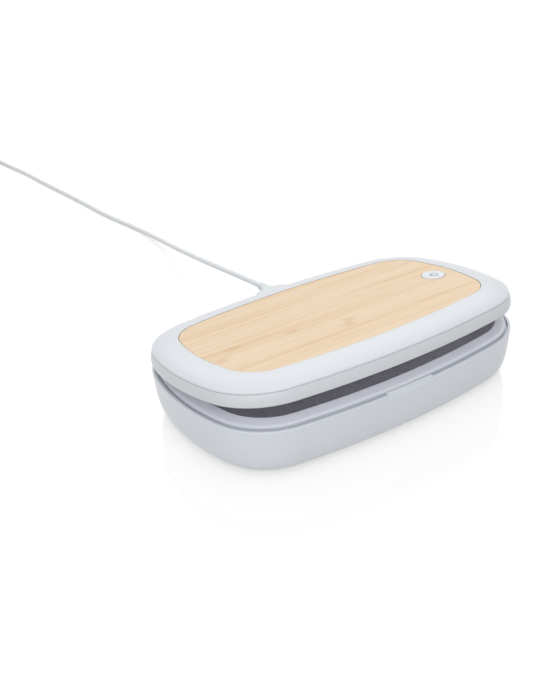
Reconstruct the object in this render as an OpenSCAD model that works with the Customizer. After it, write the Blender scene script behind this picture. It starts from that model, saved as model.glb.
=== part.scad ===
// Ultraviolet sanitizer box for a phone: a shallow oval bowl with a reflective tray, and a hinged lid
// with a bamboo charging panel and one push button. Millimetres, +Z up, -Y is the front, the feet
// stand on z = 0. Lid pieces are written for the closed lid and are swung open by lid_ajar.

/* [Lid] */
// Length of the lid over its band
lid_l = 220; // [205:1:240]
// Width of the lid over its band
lid_w = 134.6; // [128:0.2:146]
// Radius of the bowed long sides
side_r = 487; // [440:1:600]
// Radius of the bowed short ends
end_r = 132; // [120:1:150]
// Radius of the four corners
corner_r = 39.9; // [37:0.1:44]
// Height of the lower band, from its edge to the parting line
band_h = 7.25; // [7:0.05:8.5]
// Height of the dome, from the parting line to the flat panel
dome_h = 5.35; // [5:0.05:7]
// Width of the sloping dome, from the lid's outline to the panel
dome_w = 17.35; // [15:0.05:19]
// How far the parting line is drawn in from the outline
seam_in = 1.1; // [0.9:0.1:1.4]
// Height of the shadow line at the parting line
seam_gap = 0.3; // [0.2:0.05:0.5]
// Wall of the band
band_t = 2.6; // [2.2:0.1:3]
// Thickness of the dome's ledge under the panel
ledge_t = 1.5; // [1.2:0.1:2]
// Width of the ledge that carries the panel
ledge_w = 4.65; // [3:0.05:6]
// Angle by which the lid stands open, in degrees
lid_ajar = 5.85; // [0:0.05:20]

/* [Bamboo panel] */
// Thickness of the bamboo panel
panel_t = 2; // [1.6:0.1:2.6]
// Gap round the panel
panel_gap = 0.25; // [0.1:0.05:0.4]

/* [Base] */
// How far the base's long sides stand out beyond the lid
side_out = 1.4; // [1:0.05:1.6]
// How far the base's short ends stand in from the lid
end_in = 0.1; // [0:0.05:0.3]
// Height of the outer rim above the table
rim_h = 30.1; // [29:0.1:40]
// Wall of the bowl
wall_t = 2.2; // [1.8:0.1:2.6]
// How far the bowl is drawn in at its foot
bowl_toe = 26.8; // [24:0.1:29]
// Clearance between the bowl's floor and the table
foot_gap = 0.8; // [0.6:0.1:1.2]
// Width of the rounded outer rim
rim_w = 1.35; // [1.2:0.05:1.6]
// Width of the shadow groove inside the outer rim
groove_w = 1.5; // [1.2:0.1:1.8]
// Depth of the shadow groove
groove_d = 1.7; // [1.4:0.1:2]
// Rise of the light-trap lip above the outer rim
lip_rise = 3.4; // [3:0.05:3.6]
// Distance from the outline to the inner edge of the lip
lip_in = 9.9; // [9:0.1:11]
// Gap from the outer rim up to the edge of the closed lid
lid_gap = 1.75; // [1.7:0.05:2.2]
// Width of the finger scoop at the front
scoop_w = 33; // [24:1:40]
// Depth of the finger scoop below the rim
scoop_d = 1.3; // [1:0.1:2]

/* [Tray] */
// Height of the tray's floor above the table
tray_z = 8; // [7.6:0.1:11]
// Wall of the tray
tray_t = 1.2; // [1:0.1:1.4]
// Height of the ribs that lift the phone
rib_h = 1.5; // [1:0.1:2.5]
// Length of the ribs
rib_l = 66; // [50:1:76]
// Distance between two ribs
rib_step = 30; // [28:1:32]

/* [Lamps] */
// Diameter of a lamp window
window_d = 12; // [10:0.5:13]
// Distance of the lamps from the middle, along the length
lamp_x = 45; // [42:1:48]
// Distance of the lid's lamps from the middle, along the width
lamp_y = 22; // [21.5:0.5:24]
// Thickness of the windows
window_t = 0.9; // [0.7:0.05:1]

/* [Hinge] */
// Diameter of the hinge knuckles
knuckle_d = 6.8; // [6.6:0.1:7]
// Diameter of the hinge pins
pin_d = 2.2; // [2:0.1:2.6]
// Width of the fixed middle block
block_w = 25; // [24:0.5:30]
// Length of a knuckle on the lid
leaf_l = 14; // [12:0.5:18]
// Length of an outer fixed knuckle
ear_l = 8.5; // [7:0.5:11]
// Gap between two knuckles
knuckle_gap = 0.3; // [0.2:0.05:0.5]
// Height of the hinge axis above the outer rim
axis_rise = 5.4; // [5.3:0.05:5.6]

/* [Button] */
// Diameter of the button
button_d = 14.6; // [13:0.1:16]
// Distance of the button from the lid's end
button_in = 31.8; // [31:0.1:34]
// Gap round the button
button_gap = 0.3; // [0.2:0.05:0.4]
// How far the button stands above the panel
button_proud = 0.3; // [0.1:0.05:0.6]
// Travel of the button
button_travel = 0.5; // [0.3:0.05:0.6]

/* [Charging pad] */
// Outer diameter of the charging coil
coil_od = 42; // [36:1:46]
// Inner diameter of the charging coil
coil_id = 20; // [16:1:24]
// Thickness of the charging coil
coil_t = 1.1; // [0.9:0.05:1.3]
// Offset of the pad and the button from the middle, along the width
pad_y = -2; // [-3:0.5:0]

/* [Feet] */
// Diameter of a rubber foot
foot_d = 12; // [10:0.5:15]
// Distance of a foot from the middle, along the length
foot_x = 62; // [50:1:66]
// Distance of a foot from the middle, along the width
foot_y = 34; // [28:1:36]

/* [Power lead] */
// Offset of the power socket from the middle of the back
socket_x = 4.5; // [0:0.1:4.6]
// Diameter of the cord
cord_d = 3.5; // [3:0.1:3.8]

/* [Hidden] */
$fn = 48;

fit = 0.1;      // clearance between two pieces that are put together
run = 0.05;     // radial clearance of a pin in its bore
eps = 0.01;

// ---- The oval outline: two long arcs, two short arcs and four corner arcs, all tangent ----
ne = 4;         // steps along half a short end
nc = 8;         // steps round a corner
ns = 4;         // steps along half a long side
nq = ne + nc + ns;
nr = 4 * nq;    // points in one ring

// Centres and sweep angles of the arcs, for half length a and half width b.
function oval(a, b, R1, R2, rc) = let(
    y1 = b - R1, x2 = a - R2, p = R1 - rc, q = R2 - rc,
    d = sqrt(x2 * x2 + y1 * y1),
    t = (p * p - q * q + d * d) / (2 * d),
    h = sqrt(p * p - t * t),
    cx = (x2 * t - y1 * h) / d,
    cy = y1 + (-y1 * t - x2 * h) / d)
  [a, b, R1, R2, rc, x2, y1, cx, cy, atan2(cx, cy - y1), atan2(cy, cx - x2)];

// Point j of the first quadrant of an outline that is drawn in by i.
function quad_pt(o, i, j) = let(
    in_end = j <= ne, in_side = j > ne + nc,
    w = in_end ? o[10] * j / ne
      : in_side ? 90 - o[9] * (nq - j) / ns
      : o[10] + (90 - o[9] - o[10]) * (j - ne) / nc,
    c = in_end ? [o[5], 0] : in_side ? [0, o[6]] : [o[7], o[8]],
    r = in_end ? o[3] : in_side ? o[2] : o[4])
  c + (r - i) * [cos(w), sin(w)];

// The whole outline drawn in by i, counterclockwise from +X.
function ring(o, i) = [
  for (k = [0 : 3]) for (s = [0 : nq - 1])
    let(p = quad_pt(o, i, k % 2 == 0 ? s : nq - s))
      [k == 1 || k == 2 ? -p[0] : p[0], k > 1 ? -p[1] : p[1]]];

// Width position of a bowed long side at a given x, drawn in by i.
function side_y(o, i, x) = o[6] + sqrt((o[2] - i) * (o[2] - i) - x * x);

// Skin through rings of the outline. The profile lists [drawn in, height] from the lower outside,
// up, over and down the inside. It closes on itself when looped, and is capped flat otherwise.
module loft(o, profile, looped = false) {
  n = len(profile);
  pts = [for (q = profile) for (p = ring(o, q[0])) [p[0], p[1], q[1]]];
  last = looped ? n - 1 : n - 2;
  sides = [for (i = [0 : last]) for (j = [0 : nr - 1])
    let(a = i * nr, b = ((i + 1) % n) * nr, k = (j + 1) % nr)
      [a + j, b + j, b + k, a + k]];
  caps = looped ? [] : [
    [for (j = [0 : nr - 1]) j],
    [for (j = [nr - 1 : -1 : 0]) (n - 1) * nr + j]];
  polyhedron(points = pts, faces = concat(sides, caps), convexity = 6);
}

// Flat plate with the outline drawn in by i.
module plate(o, i, z0, z1) {
  translate([0, 0, z0]) linear_extrude(z1 - z0) polygon(ring(o, i));
}

// Upright wall that follows the outline between two insets, from x0 to x1 along the back or front.
module rim_strip(o, i0, i1, x0, x1, z0, z1, back = true) {
  translate([0, 0, z0]) linear_extrude(z1 - z0) intersection() {
    difference() {
      polygon(ring(o, i0));
      polygon(ring(o, i1));
    }
    translate([x0, back ? 0 : -o[1] - 5]) square([x1 - x0, o[1] + 5]);
  }
}

// Bar along X with a YZ profile.
module x_bar(x0, x1, profile) {
  translate([x0, 0, 0]) rotate([90, 0, 90]) linear_extrude(x1 - x0) polygon(profile);
}

// Cylinder along X.
module x_rod(x0, x1, y, z, d) {
  translate([min(x0, x1), y, z]) rotate([0, 90, 0]) cylinder(h = abs(x1 - x0), d = d);
}

// Slot with round ends in XZ, cut or filled along Y.
module y_slot(x, z, w, h, y0, y1) {
  translate([x, y1, z]) rotate([90, 0, 0]) linear_extrude(y1 - y0) union() {
    square([w - h, h], center = true);
    for (s = [-1, 1]) translate([s * (w - h) / 2, 0]) circle(d = h);
  }
}

// Copies its children to the four quadrants.
module four(x, y) {
  for (sx = [-1, 1]) for (sy = [-1, 1]) translate([sx * x, sy * y, 0]) children();
}

// ---- Derived sizes ----
lid_o = oval(lid_l / 2, lid_w / 2, side_r, end_r, corner_r);
base_o = oval(lid_l / 2 - end_in, lid_w / 2 + side_out, side_r + side_out, end_r - end_in,
              corner_r + (side_out - end_in) / 2);

// Base
edge_z = rim_h - 1.2;                       // where the bowl's wall turns into the rounded rim
ledge_z = rim_h - groove_d;                 // floor of the shadow groove
liner_i = rim_w + groove_w;                 // outer wall of the liner
toe_t = 1 - pow(foot_gap / edge_z, 1 / 3);  // where the bowl's curve meets its flat floor
floor_z = foot_gap + wall_t;                // top of the bowl's floor

// The bowl's side: a cubic curve from the rim down to the foot.
function bowl(t) = [3 * t * pow(1 - t, 2) * 2.2 + 3 * t * t * (1 - t) * 2.5 + pow(t, 3) * bowl_toe,
                    edge_z * pow(1 - t, 3)];
function unit(v) = v / norm(v);
function bowl_inside(t) = let(d = unit(bowl(t + 0.01) - bowl(t - 0.01)))
  bowl(t) + wall_t * [-d[1], d[0]];

// Rim liner
liner_t = 1.5;
crown_z = rim_h + 1.35;                     // top of the bright outer bead
lip_z = rim_h + lip_rise;
liner_under = crown_z - 0.45;               // flat underside between the two legs
leg_in = lip_in - 1.3;                      // outer face of the inner leg

// Tray
flange_z = ledge_z - 0.5;                   // top of the tray's flange
tray_wall = [[lip_in + 0.7, flange_z], [lip_in + 1.8, flange_z - 0.4 * (flange_z - tray_z)],
             [lip_in + 4.1, tray_z + 4.3], [lip_in + 8.3, tray_z + 0.8], [lip_in + 13.6, tray_z]];
function tray_out(k) = k == 0 ? tray_wall[0] - [tray_t, tray_t]
  : k == len(tray_wall) - 1 ? tray_wall[k] - [0.3, tray_t]
  : let(d = unit(tray_wall[k + 1] - tray_wall[k - 1])) tray_wall[k] + tray_t * [d[1], -d[0]];
screw_i = (liner_i + 2.05 + leg_in) / 2;    // the tray's screws stand midway between the liner's legs
screw_p = quad_pt(base_o, screw_i, ne + nc / 2);
post_top = flange_z - tray_t;
post_z = bowl(0.46)[1] + 1;                 // the posts spring from the bowl's wall
board_z = floor_z + 1;
board_t = 1.2;
board_end = 12;                             // board beyond a lamp
board_w = 18;
tray_screw_l = 7;
tray_head = 1.2;

// Lid
lid_z = rim_h + lid_gap;                    // lower edge of the closed lid
seam_z = lid_z + band_h;
panel_z = seam_z + dome_h;                  // top of the bamboo panel
panel_under = panel_z - panel_t;
dome_foot = seam_z + seam_gap / 2;
dome_under = panel_under - ledge_t;
liner_top = lid_z + 3.85;                   // top of the lid's inner cover
cover_t = 1.5;
cover_z = liner_top - cover_t;
ledge_i = dome_w + ledge_w;
band_step = seam_in + 0.6;                  // the band's top stands up inside the shadow line

// Hinge
axis_y = lid_w / 2 - 0.3;
axis_z = rim_h + axis_rise;
knuckle_r = knuckle_d / 2;
leaf_x0 = block_w / 2 + knuckle_gap;
leaf_x1 = leaf_x0 + leaf_l;
ear_x0 = leaf_x1 + knuckle_gap;
ear_x1 = ear_x0 + ear_l;
notch_x = ear_x1 + 0.4;
dome_notch_y = axis_y - 3.1;
band_notch_y = side_y(lid_o, band_t + 1.9, notch_x);
leaf_foot_y = axis_y - 20;                  // front end of a leaf
leaf_mid_x = (leaf_x0 + leaf_x1) / 2;
block_h = 4.8;
block_face = axis_y + 3.7;
pin_in = 2.6;                               // depth of a pin in the middle block

// Swings the closed lid open about the hinge axis.
module ajar() {
  translate([0, axis_y, axis_z]) rotate([-lid_ajar, 0, 0]) translate([0, -axis_y, -axis_z]) children();
}

// Lamps in the lid
strip_l = 2 * lamp_x + 20;
strip_w = 14;
strip_t = 1.2;
strip_z = liner_top + 2.2;
lamp_s = 3.5;
lamp_t = 1.5;
standoff_d = 4;
strip_post_x = 20;

// Charging parts, stacked down from the panel
button_x = lid_o[0] - button_in;
pad_t = 0.55;
coil_z1 = panel_under - pad_t;
coil_z0 = coil_z1 - coil_t;
ferrite_t = 1;
main_t = 1.2;
main_z1 = coil_z0 - ferrite_t;
main_z0 = main_z1 - main_t;
main_x0 = -coil_od / 2 - 4;
main_x1 = button_x + button_d / 2 + 1.5;
// Chips beside the coil: place along and across the board, then length, width and height
chips = [[0, -8, 7, 7, 1], [12, -3, 9, 6, 1.2], [26, 2.2, 5, 7.5, 1]];
main_w = 2 * (lamp_y + 0.6 - strip_w / 2 + pad_y - 0.5);  // clears the lamp strips on both sides

// Button
button_y = pad_y;
cap_z1 = panel_z + button_proud;
collar_t = 0.45;
collar_z = panel_under - collar_t;
flange_d = button_d + 1.8;
flange_t = 0.65;
flange_top = collar_z - run;
switch_z1 = main_z1 + 1.8;
plunger_top = flange_top + 0.25;
switch_w = 6;

// Screws and magnets
screw_d = 1.7;
pilot_d = 1.8;
head_d = 3.2;
post_x = lid_l / 2 - 15;
post_y = 25;
post_d = 6;
mag = [12, 3.4, 1.8];
stud_x = 25;
stud_d = 5;
rib_w = 2;

// Lead
plug_y = block_face + 0.2;
// The plug's flat wings flow into a slim neck: distance from its face, half width, half height and
// how square the section is
grip = [[0, 11.2, 2.5, 6], [0.5, 11.5, 2.8, 6], [2.6, 11.5, 2.8, 6], [3.5, 11.1, 2.7, 5],
        [4.1, 10.1, 2.6, 4.5], [4.5, 8.6, 2.5, 4], [5, 6.9, 2.45, 3.5], [6.2, 5.2, 2.4, 3],
        [7.8, 3.9, 2.4, 2.6], [9.6, 3.1, 2.35, 2.2], [11.4, 2.5, 2.3, 2]];
relief_y = plug_y + grip[len(grip) - 1][0];
relief_l = 4;
exit_y = relief_y + relief_l;
socket_l = 7.3;
usb = [12, 4.5, 18.5];
usb_grip = [15.6, 8, 24];
usb_neck = 9;
tie_w = 8;

// ---- Cord ----
// The cord leaves the relief straight, sinks to the table and runs away from the box.
rest_z = cord_d / 2;
loop_r = 23.1;                              // radius where the coil begins
loop_c = [-12.1, 616, rest_z + 0.6];        // centre of the coil, at the height of its lower layer
coil_start = loop_c + [loop_r, -cord_d, 0];
route = [[4.4, 91, 35.5], [4.1, 101.5, 35.2], [3.7, 110, 34.6], [4.3, 121.5, 33.1], [6, 141, 30],
         [10, 163, 25.5], [15, 189, 19.8], [20, 216, 14.4], [26, 249, 8.2], [30, 278, 4.2],
         [31, 303, rest_z + 0.45], [30, 327, rest_z], [26, 354, rest_z], [24, 380, rest_z],
         [23, 420, rest_z], [21, 455, rest_z], [18, 507, rest_z], [17, 545, rest_z], [13, 580, rest_z],
         [11.2, 598, rest_z + 0.3], coil_start];
loop_pitch = cord_d + 0.5;                  // distance between two loops, and between two layers
in_turn = 450;                              // degrees wound inward on the lower layer
climb_turn = 180;                           // degrees in which the cord climbs to the upper layer
out_turn = 540;                             // degrees wound outward on the upper layer
turn_step = 15;
all_turn = in_turn + climb_turn + out_turn;
turn_back = in_turn + climb_turn / 2;        // where the loops begin to widen again
inner_r = loop_r - loop_pitch * in_turn / 360;

// Radius and height of the coil after w degrees.
function loop_rad(w) = loop_r - loop_pitch * (turn_back - abs(w - turn_back)) / 360;
function loop_up(w) = loop_pitch * min(1, max(0, (w - in_turn) / climb_turn));
function loop_pt(w) = loop_c + [loop_rad(w) * cos(w), loop_rad(w) * sin(w), loop_up(w)];
tail_end = loop_pt(all_turn);
grip_z = usb_grip[1] / 2;
tail = [tail_end + [-cord_d, 0, 0], tail_end + [-8, 0, -0.2], tail_end + [-16, 0, -0.9],
        tail_end + [-30, 1, -3], [tail_end[0] - 42, tail_end[1] + 2, rest_z + 0.6],
        [tail_end[0] - 56, tail_end[1] + 2, grip_z - 0.1], [tail_end[0] - 60, tail_end[1] + 2, grip_z]];

// Smooth curve through hand-placed points: n steps between two points.
function spline(P, n) = concat([P[0]], [
  for (i = [0 : len(P) - 2]) for (s = [1 : n])
    let(u = s / n, a = P[max(0, i - 1)], b = P[i], c = P[i + 1], d = P[min(len(P) - 1, i + 2)])
      0.5 * (2 * b + (c - a) * u + (2 * a - 5 * b + 4 * c - d) * u * u
             + (3 * b - a - 3 * c + d) * u * u * u)]);

// Round tube along a path that never runs straight up. The ends are square to end_a and end_b.
module tube(path, d, sides, end_a, end_b) {
  n = len(path);
  pts = [for (i = [0 : n - 1])
    let(t = i == 0 ? end_a : i == n - 1 ? end_b : path[i + 1] - path[i - 1],
        u = unit(t), a = unit(cross(u, [0, 0, 1])), b = cross(a, u))
      for (k = [0 : sides - 1])
        path[i] + d / 2 * (cos(360 * (k + 0.5) / sides) * a + sin(360 * (k + 0.5) / sides) * b)];
  skin = [for (i = [0 : n - 2]) for (k = [0 : sides - 1])
    let(p = i * sides, q = p + sides, m = (k + 1) % sides)
      each [[p + k, p + m, q + m], [p + k, q + m, q + k]]];
  caps = [[for (k = [sides - 1 : -1 : 0]) k], [for (k = [0 : sides - 1]) (n - 1) * sides + k]];
  polyhedron(points = pts, faces = concat(skin, caps), convexity = 8);
}

coil_path = concat([coil_start], [for (w = [0 : turn_step : all_turn]) loop_pt(w)],
                   [tail_end + [-cord_d, 0, 0]]);
// Least distance between two parts of the coil that are more than a third of a turn apart.
coil_gap = min([for (i = [0 : len(coil_path) - 1]) for (j = [i + 8 : 1 : len(coil_path) - 1])
  norm(coil_path[i] - coil_path[j])]) - cord_d;
echo(coil_gap = coil_gap);

// ---- Base ----
module base_shell() {
  outer = [for (k = [0 : 5]) bowl(toe_t * (1 - k / 5))];
  rim = [[0.35, rim_h - 0.3], [0.8, rim_h], [rim_w, rim_h - 0.1], [rim_w, ledge_z],
         [liner_i + 0.75, ledge_z], [liner_i + 0.75, ledge_z - 0.8], [wall_t + 0.2, ledge_z - 2.2]];
  inner = [for (t = [0.22, 0.38, 0.52, 0.63]) bowl_inside(t)];
  sole = [[bowl(toe_t)[0] + 2.2, floor_z]];
  color("gainsboro") difference() {
    union() {
      loft(base_o, concat(outer, rim, inner, sole));
      // The groove is filled where the scoop is.
      rim_strip(base_o, rim_w - 0.05, liner_i - fit, -scoop_w / 2, scoop_w / 2, ledge_z - 0.1,
                rim_h + 0.45, back = false);
      // Posts for the tray's screws
      four(screw_p[0], screw_p[1]) translate([0, 0, post_z]) cylinder(h = post_top - post_z, d = 4.8);
      // Studs under the board
      for (s = [-1, 1]) translate([s * stud_x, 0, floor_z - 0.5])
        cylinder(h = board_z - floor_z + 0.5, d = stud_d);
    }
    // Slanted finger scoop
    x_bar(-scoop_w / 2, scoop_w / 2, [
      [-base_o[1] + liner_i - 0.4, rim_h + 0.45], [-base_o[1] + 0.1, rim_h - scoop_d],
      [-base_o[1] - 4, rim_h - scoop_d], [-base_o[1] - 4, rim_h + 4],
      [-base_o[1] + liner_i - 0.4, rim_h + 4]]);
    // Notch in the outer rim for the hinge bracket
    translate([-notch_x, 0, ledge_z]) cube([2 * notch_x, base_o[1] + 1, 10]);
    four(foot_x, foot_y) translate([0, 0, foot_gap - 1]) cylinder(h = 2, d = foot_d + 2 * fit);
    four(screw_p[0], screw_p[1]) translate([0, 0, post_top - 8]) cylinder(h = 10, d = pilot_d);
  }
}

module rim_liner() {
  i0 = liner_i;
  color("lightgray") loft(base_o, [
    [i0, ledge_z], [i0, crown_z - 0.25], [i0 + 0.2, crown_z - 0.05], [i0 + 0.65, crown_z],
    [lip_in - 0.7, lip_z], [lip_in, lip_z - 0.6], [lip_in + 0.2, flange_z + fit],
    [leg_in, flange_z + fit], [leg_in - 0.2, liner_under], [i0 + 2.05, liner_under],
    [i0 + 2.05, ledge_z]], looped = true);
}

module cavity_tray() {
  n = len(tray_wall);
  color("dimgray") difference() {
    union() {
      loft(base_o, concat(
        [for (k = [n - 1 : -1 : 0]) tray_out(k)],
        [[liner_i + 2.35, post_top], [liner_i + 2.35, flange_z]],
        [for (k = [0 : n - 1]) tray_wall[k]]));
      for (k = [-2 : 2]) translate([k * rib_step - rib_w / 2, -rib_l / 2, tray_z - 0.1])
        cube([rib_w, rib_l, rib_h + 0.1]);
    }
    for (s = [-1, 1]) translate([s * lamp_x, 0, tray_z]) {
      translate([0, 0, -window_t]) cylinder(h = 5, d = window_d + 2 * fit);
      translate([0, 0, -5]) cylinder(h = 6, d = window_d - 2);
    }
    four(screw_p[0], screw_p[1]) translate([0, 0, flange_z - 3]) cylinder(h = 6, d = screw_d + 0.4);
  }
}

module tray_windows() {
  color("lightsteelblue") for (s = [-1, 1]) translate([s * lamp_x, 0, tray_z - window_t])
    cylinder(h = window_t, d = window_d);
}

module base_lamps() {
  color("gold") for (s = [-1, 1]) translate([s * lamp_x - lamp_s / 2, -lamp_s / 2, board_z + board_t])
    cube([lamp_s, lamp_s, tray_z - tray_t - board_z - board_t + 0.1]);
}

module base_board() {
  color("seagreen") translate([-lamp_x - board_end, -board_w / 2, board_z])
    cube([2 * (lamp_x + board_end), board_w, board_t]);
}

module screw(shank, head, up = 1) {
  rotate([up > 0 ? 0 : 180, 0, 0]) {
    cylinder(h = head, d = head_d);
    translate([0, 0, -shank]) cylinder(h = shank + eps, d = screw_d);
  }
}

module tray_screws() {
  color("silver") four(screw_p[0], screw_p[1]) translate([0, 0, flange_z]) screw(tray_screw_l, tray_head);
}

module base_magnets() {
  y = side_y(base_o, screw_i, lamp_x);
  color("slategray") for (s = [-1, 1]) translate([s * lamp_x, -y, liner_under - mag[2]])
    rotate([0, 0, s * asin(lamp_x / side_r)]) translate([-mag[0] / 2, -mag[1] / 2, 0])
      cube([mag[0], mag[1] - 0.4, mag[2]]);
}

module rubber_feet() {
  r = foot_d / 2;
  h = foot_gap + 1 - fit;
  color("dimgray") four(foot_x, foot_y) rotate_extrude()
    polygon([[0, 0], [r - 0.5, 0], [r, 0.5], [r, h], [0, h]]);
}

// ---- Hinge and power socket ----
module hinge_bracket() {
  color("gainsboro") difference() {
    union() {
      rim_strip(base_o, 0.15, liner_i - 0.15, -ear_x1, ear_x1, ledge_z, axis_z - knuckle_r - 0.6);
      for (s = [-1, 1]) {
        x0 = s > 0 ? ear_x0 : -ear_x1;
        rim_strip(base_o, 0.15, liner_i - 0.15, x0, x0 + ear_l, ledge_z, axis_z);
        x_rod(x0, x0 + ear_l, axis_y, axis_z, knuckle_d);
      }
      rim_strip(base_o, 0.15, liner_i - 0.15, -block_w / 2, block_w / 2, ledge_z, axis_z);
      x_rod(-block_w / 2, block_w / 2, axis_y, axis_z, knuckle_d);
      x_bar(-block_w / 2, block_w / 2, [
        [axis_y - 1, axis_z - block_h / 2], [block_face, axis_z - block_h / 2],
        [block_face, axis_z + block_h / 2 - 0.6], [block_face - 0.6, axis_z + block_h / 2],
        [axis_y - 1, axis_z + block_h / 2]]);
    }
    for (s = [-1, 1])
      x_rod(s * (block_w / 2 - pin_in - fit), s * (ear_x1 + 1), axis_y, axis_z, pin_d + 2 * run);
    y_slot(socket_x, axis_z, 9, 3.4, block_face - socket_l - fit, block_face + 1);
  }
}

module hinge_pins() {
  color("silver") for (s = [-1, 1])
    x_rod(s * (block_w / 2 - pin_in), s * (ear_x1 - 0.2), axis_y, axis_z, pin_d);
}

module power_socket() {
  color("silver") union() {
    difference() {
      y_slot(socket_x, axis_z, 8.94, 3.3, block_face - socket_l, block_face - 0.1);
      y_slot(socket_x, axis_z, 8.34, 2.7, block_face - socket_l + 0.8, block_face + 1);
    }
    translate([socket_x - 3.3, block_face - socket_l + 0.5, axis_z - 0.35]) cube([6.6, 5, 0.7]);
  }
}

// ---- Lid ----
module lid_band() {
  profile = [
    [1, lid_z], [0.35, lid_z + 0.1], [0, lid_z + 0.35], [-0.12, lid_z + 0.36 * band_h],
    [0.15, lid_z + 0.65 * band_h], [0.6, lid_z + 0.88 * band_h],
    [seam_in, seam_z - seam_gap / 2], [band_step, seam_z - seam_gap / 2],
    [band_step, dome_foot], [band_step + 1.5, dome_foot], [band_t, dome_foot - 2],
    [band_t, liner_top + 1], [band_t + 1.8, liner_top + 1], [band_t + 1.8, liner_top],
    [band_t, liner_top], [band_t, lid_z + 0.2], [band_t - 0.2, lid_z]];
  color("whitesmoke") ajar() difference() {
    loft(lid_o, profile, looped = true);
    translate([-notch_x, band_notch_y, lid_z - 2]) cube([2 * notch_x, 20, band_h + 4]);
  }
}

module lid_frame() {
  n = 6;
  p0 = [seam_in, dome_foot];
  p1 = [7.9, panel_z];
  p2 = [dome_w, panel_z];
  curve = [for (k = [0 : n]) let(t = k / n) pow(1 - t, 2) * p0 + 2 * t * (1 - t) * p1 + t * t * p2];
  profile = concat(curve, [[dome_w, panel_under], [ledge_i, panel_under], [ledge_i, dome_under],
                           [8, dome_under], [4.2, dome_foot]]);
  color("whitesmoke") ajar() difference() {
    union() {
      loft(lid_o, profile, looped = true);
      four(post_x, post_y) translate([0, 0, liner_top])
        cylinder(h = dome_under - liner_top + 0.5, d = post_d);
    }
    four(post_x, post_y) translate([0, 0, liner_top - 1]) cylinder(h = 6, d = pilot_d);
    translate([-notch_x, dome_notch_y, seam_z - 2]) cube([2 * notch_x, 20, dome_h + 4]);
    leaf_screw_places() translate([0, 0, dome_under - 1]) cylinder(h = 2, d = pilot_d);
  }
}

module bamboo_panel() {
  color("burlywood") ajar() difference() {
    plate(lid_o, dome_w + panel_gap, panel_under, panel_z);
    translate([button_x, button_y, panel_under - 1])
      cylinder(h = panel_t + 2, d = button_d + 2 * button_gap);
  }
}

module lid_liner() {
  color("dimgray") ajar() difference() {
    union() {
      plate(lid_o, band_t + 0.3, cover_z, liner_top);
      // Standoffs for the lamp strips and the charging board
      four(strip_post_x, lamp_y) translate([0, 0, liner_top - eps])
        cylinder(h = strip_z - liner_top + eps, d = standoff_d);
      for (x = [main_x0 + 4, main_x1 - 6]) for (k = [-1, 1])
        translate([x, pad_y + k * (main_w / 2 - 3), liner_top - eps])
          cylinder(h = main_z0 - liner_top + eps, d = standoff_d);
    }
    translate([-notch_x, band_notch_y, cover_z - 1]) cube([2 * notch_x, 20, 6]);
    four(lamp_x, lamp_y) translate([0, 0, liner_top]) {
      translate([0, 0, -window_t]) cylinder(h = 3, d = window_d + 2 * fit);
      translate([0, 0, -3]) cylinder(h = 4, d = window_d - 2);
    }
    four(post_x, post_y) translate([0, 0, cover_z]) {
      translate([0, 0, -1]) cylinder(h = 1.9, d = head_d + 0.4);
      translate([0, 0, -1]) cylinder(h = 6, d = screw_d + 0.4);
    }
  }
}

module lid_windows() {
  color("lightsteelblue") ajar() four(lamp_x, lamp_y) translate([0, 0, liner_top - window_t])
    cylinder(h = window_t, d = window_d);
}

module lid_lamps() {
  color("gold") ajar() four(lamp_x, lamp_y) translate([-lamp_s / 2, -lamp_s / 2, strip_z - lamp_t])
    cube([lamp_s, lamp_s, lamp_t]);
}

module lamp_boards() {
  color("seagreen") ajar() for (k = [-1, 1])
    translate([-strip_l / 2, k * (lamp_y + 0.6) - strip_w / 2, strip_z]) cube([strip_l, strip_w, strip_t]);
}

module lid_magnets() {
  y = side_y(lid_o, band_t + 3.9, lamp_x);
  color("slategray") ajar() for (s = [-1, 1]) translate([s * lamp_x, -y, liner_top])
    rotate([0, 0, s * asin(lamp_x / side_r)]) translate([-mag[0] / 2, -mag[1] / 2, 0]) cube(mag);
}

module lid_screws() {
  color("silver") ajar() four(post_x, post_y) translate([0, 0, cover_z + 0.9]) screw(4.5, 0.8, up = -1);
}

// Two screws through the foot of each hinge leaf.
module leaf_screw_places() {
  for (s = [-1, 1]) for (k = [-1, 1]) translate([s * leaf_mid_x + k * 4, leaf_foot_y + 4.5, 0]) children();
}

module hinge_leaves() {
  profile = [
    [leaf_foot_y, dome_under], [side_y(lid_o, 8.1, leaf_x1), dome_under],
    [side_y(lid_o, 4.3, leaf_x1), dome_foot - 0.1],
    [axis_y, axis_z + knuckle_r - 0.4], [axis_y, axis_z - 1.5], [axis_y - 3.8, axis_z + 0.5],
    [axis_y - 10, dome_under - 2], [leaf_foot_y, dome_under - 2]];
  color("gainsboro") ajar() difference() {
    for (s = [-1, 1]) {
      x0 = s > 0 ? leaf_x0 : -leaf_x1;
      union() {
        x_bar(x0, x0 + leaf_l, profile);
        x_rod(x0, x0 + leaf_l, axis_y, axis_z, knuckle_d);
      }
    }
    for (s = [-1, 1])
      x_rod(s * leaf_mid_x - leaf_l, s * leaf_mid_x + leaf_l, axis_y, axis_z, pin_d + 2 * run);
    leaf_screw_places() translate([0, 0, dome_under - 5]) cylinder(h = 8, d = screw_d + 0.4);
  }
}

module leaf_screws() {
  color("silver") ajar() leaf_screw_places() translate([0, 0, dome_under - 2]) screw(2.8, 0.8, up = -1);
}

// ---- Charging parts ----
module charge_board() {
  color("seagreen") ajar() translate([main_x0, pad_y - main_w / 2, main_z0])
    cube([main_x1 - main_x0, main_w, main_t]);
}

module board_chips() {
  color("black") ajar() translate([coil_od / 2 + 7, pad_y, main_z1]) for (c = chips)
    translate([c[0], c[1], 0]) cube([c[2], c[3], c[4]]);
}

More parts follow.
